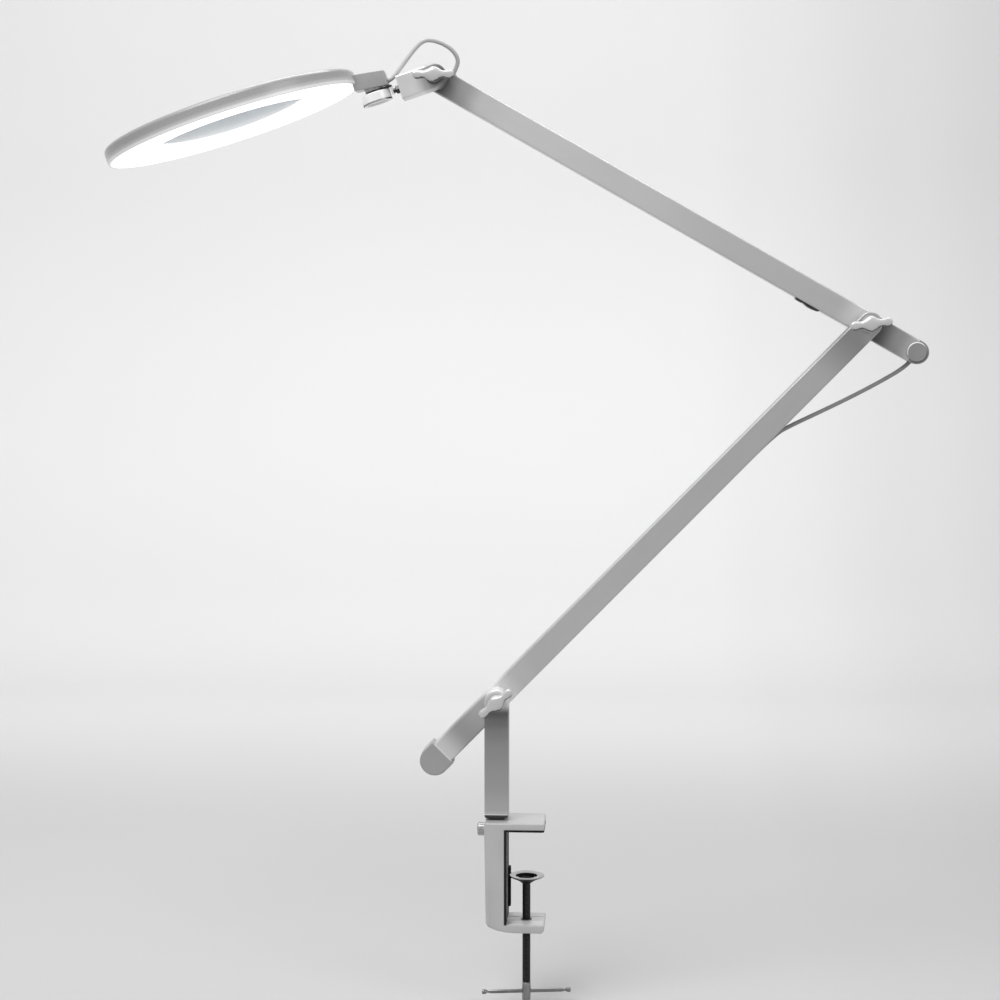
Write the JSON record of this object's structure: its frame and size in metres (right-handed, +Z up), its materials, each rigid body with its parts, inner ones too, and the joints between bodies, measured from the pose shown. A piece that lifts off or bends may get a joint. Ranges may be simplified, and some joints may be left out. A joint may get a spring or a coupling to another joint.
{
  "type": "magnifier lamp",
  "caption": "Round lit magnifier on a two-arm square-tube stand with winged joint knobs and a screw table clamp.",
  "frame": {"origin": "on the clamp screw's axis, at the level where the clamp pad rests on the table top", "axes": "+Z up, the lamp's front with its knobs faces -Y, the lower arm leans towards +X and the lens hangs towards -X"},
  "size_m": [0.6221, 0.1981, 0.7337],
  "materials": {
    "arm_metal": "satin anodised",
    "clamp_metal": "semi-gloss silver paint",
    "plated": "polished plating",
    "steel": "satin",
    "dark_steel": "black oxide, semi-gloss",
    "end_plastic": "satin",
    "dark_plastic": "satin",
    "head_shell": "semi-gloss",
    "lead_sheath": "satin sheath",
    "pad_rubber": "matt",
    "diffuser_plastic": "frosted, lit from behind",
    "lens_glass": "polished",
    "board": "solder mask",
    "led_phosphor": "moulded",
    "brass": "turned"
  },
  "bodies": {
    "clamp": {"clamp_body": "clamp_metal", "jaw_pad": "pad_rubber", "spine_strip": "pad_rubber", "clamp_nut": "steel", "swivel_sleeve": "steel"},
    "set_screw": {"set_screw": "steel"},
    "pressure_cup": {"pressure_cup": "plated"},
    "clamp_screw": {"clamp_screw": "dark_steel"},
    "tommy_bar": {"tommy_bar": "plated"},
    "post": {"post_tube": "arm_metal", "post_foot": "end_plastic", "spigot": "steel", "post_bush": "steel", "base_washer": "dark_plastic", "base_knob_washer": "dark_plastic"},
    "lower_arm": {"lower_arm_tube": "arm_metal", "lower_arm_bushes": "steel", "tail_cap": "end_plastic", "power_inlet": "dark_plastic", "base_bolt": "plated", "lower_arm_lead": "lead_sheath", "elbow_washer": "dark_plastic", "elbow_knob_washer": "dark_plastic"},
    "upper_arm": {"upper_arm_tube": "arm_metal", "upper_arm_bushes": "steel", "elbow_cap": "end_plastic", "switch_housing": "dark_plastic", "arm_grommet": "pad_rubber", "elbow_bolt": "plated", "tilt_bolt": "plated", "elbow_lead": "lead_sheath", "head_lead_arm": "lead_sheath"},
    "switch_rocker": {"switch_rocker": "dark_plastic"},
    "tilt_block": {"tilt_block": "arm_metal", "tilt_bush": "steel", "block_plug": "end_plastic", "tilt_washer": "dark_plastic", "tilt_knob_washer": "dark_plastic", "head_lead_block": "lead_sheath"},
    "knuckle": {"eye_link": "steel", "lock_nut": "steel", "head_lead_neck": "lead_sheath"},
    "head": {"head_housing": "head_shell", "neck_insert": "brass", "diffuser": "diffuser_plastic", "led_board": "board", "led_chips": "led_phosphor", "board_screws": "steel", "lens": "lens_glass", "lens_ring": "head_shell"},
    "knurled_knob": {"knurled_knob": "plated"},
    "base_knob": {"base_knob": "plated"},
    "elbow_knob": {"elbow_knob": "plated"},
    "tilt_knob": {"tilt_knob": "plated"}
  },
  "joints": [
    {"name": "post_swivel", "type": "hinge", "parent": "clamp", "child": "post", "pos_m": [-0.0226, 0, 0.0065], "axis": [0, 0, 1], "continuous": true},
    {"name": "lower_arm_pivot", "type": "hinge", "parent": "post", "child": "lower_arm", "pos_m": [-0.0226, 0, 0.0975], "axis": [0, -1, 0], "range_deg": [-45.6, 104.4]},
    {"name": "elbow", "type": "hinge", "parent": "lower_arm", "child": "upper_arm", "pos_m": [0.25587, 0.0188, 0.38186], "axis": [0, 1, 0], "range_deg": [-45, 79], "deforming": ["elbow_lead"]},
    {"name": "tilt", "type": "hinge", "parent": "upper_arm", "child": "tilt_block", "pos_m": [-0.07019, 0.0188, 0.56709], "axis": [0, -1, 0], "range_deg": [-50, 70], "deforming": ["head_lead_arm"]},
    {"name": "head_roll", "type": "hinge", "parent": "tilt_block", "child": "knuckle", "pos_m": [-0.07019, 0.0188, 0.56709], "axis": [0.9497, 0, 0.3132], "range_deg": [-90, 90], "deforming": ["head_lead_block"]},
    {"name": "head_swivel", "type": "hinge", "parent": "knuckle", "child": "head", "pos_m": [-0.11625, 0.01895, 0.55692], "axis": [-0.3131, -0.0175, 0.9496], "range_deg": [-90, 90], "deforming": ["head_lead_neck"]},
    {"name": "swivel_knob_turn", "type": "hinge", "parent": "head", "child": "knurled_knob", "pos_m": [-0.11625, 0.01895, 0.55692], "axis": [0.3131, 0.0175, -0.9496], "range_deg": [0, 540]},
    {"name": "base_knob_turn", "type": "hinge", "parent": "lower_arm", "child": "base_knob", "pos_m": [-0.0226, 0, 0.0975], "axis": [0, -1, 0], "range_deg": [0, 540]},
    {"name": "elbow_knob_turn", "type": "hinge", "parent": "upper_arm", "child": "elbow_knob", "pos_m": [0.25587, 0.0188, 0.38186], "axis": [0, -1, 0], "range_deg": [0, 540]},
    {"name": "tilt_knob_turn", "type": "hinge", "parent": "upper_arm", "child": "tilt_knob", "pos_m": [-0.07019, 0.0188, 0.56709], "axis": [0, -1, 0], "range_deg": [0, 540]},
    {"name": "set_screw_turn", "type": "hinge", "parent": "clamp", "child": "set_screw", "pos_m": [-0.0314, 0, -0.002], "axis": [-1, 0, 0], "range_deg": [0, 540]},
    {"name": "rocker", "type": "hinge", "parent": "upper_arm", "child": "switch_rocker", "pos_m": [0.21086, 0.0376, 0.39708], "axis": [0, -1, 0], "range_deg": [0, 16]},
    {"name": "cup_travel", "type": "slide", "parent": "clamp", "child": "pressure_cup", "axis": [0, 0, 1], "range_m": [-0.0221, 0.0361]},
    {"name": "screw_turn", "type": "hinge", "parent": "pressure_cup", "child": "clamp_screw", "pos_m": [0, 0, -0.0459], "axis": [0, 0, 1], "range_deg": [-7920, 12960]},
    {"name": "bar_slide", "type": "slide", "parent": "clamp_screw", "child": "tommy_bar", "axis": [0.9903, 0.1392, 0], "range_m": [-0.0255, 0.0255]}
  ],
  "couplings": [
    {"joint": "cup_travel", "follows": "screw_turn", "m_per_rad": 0.00015915}
  ]
}
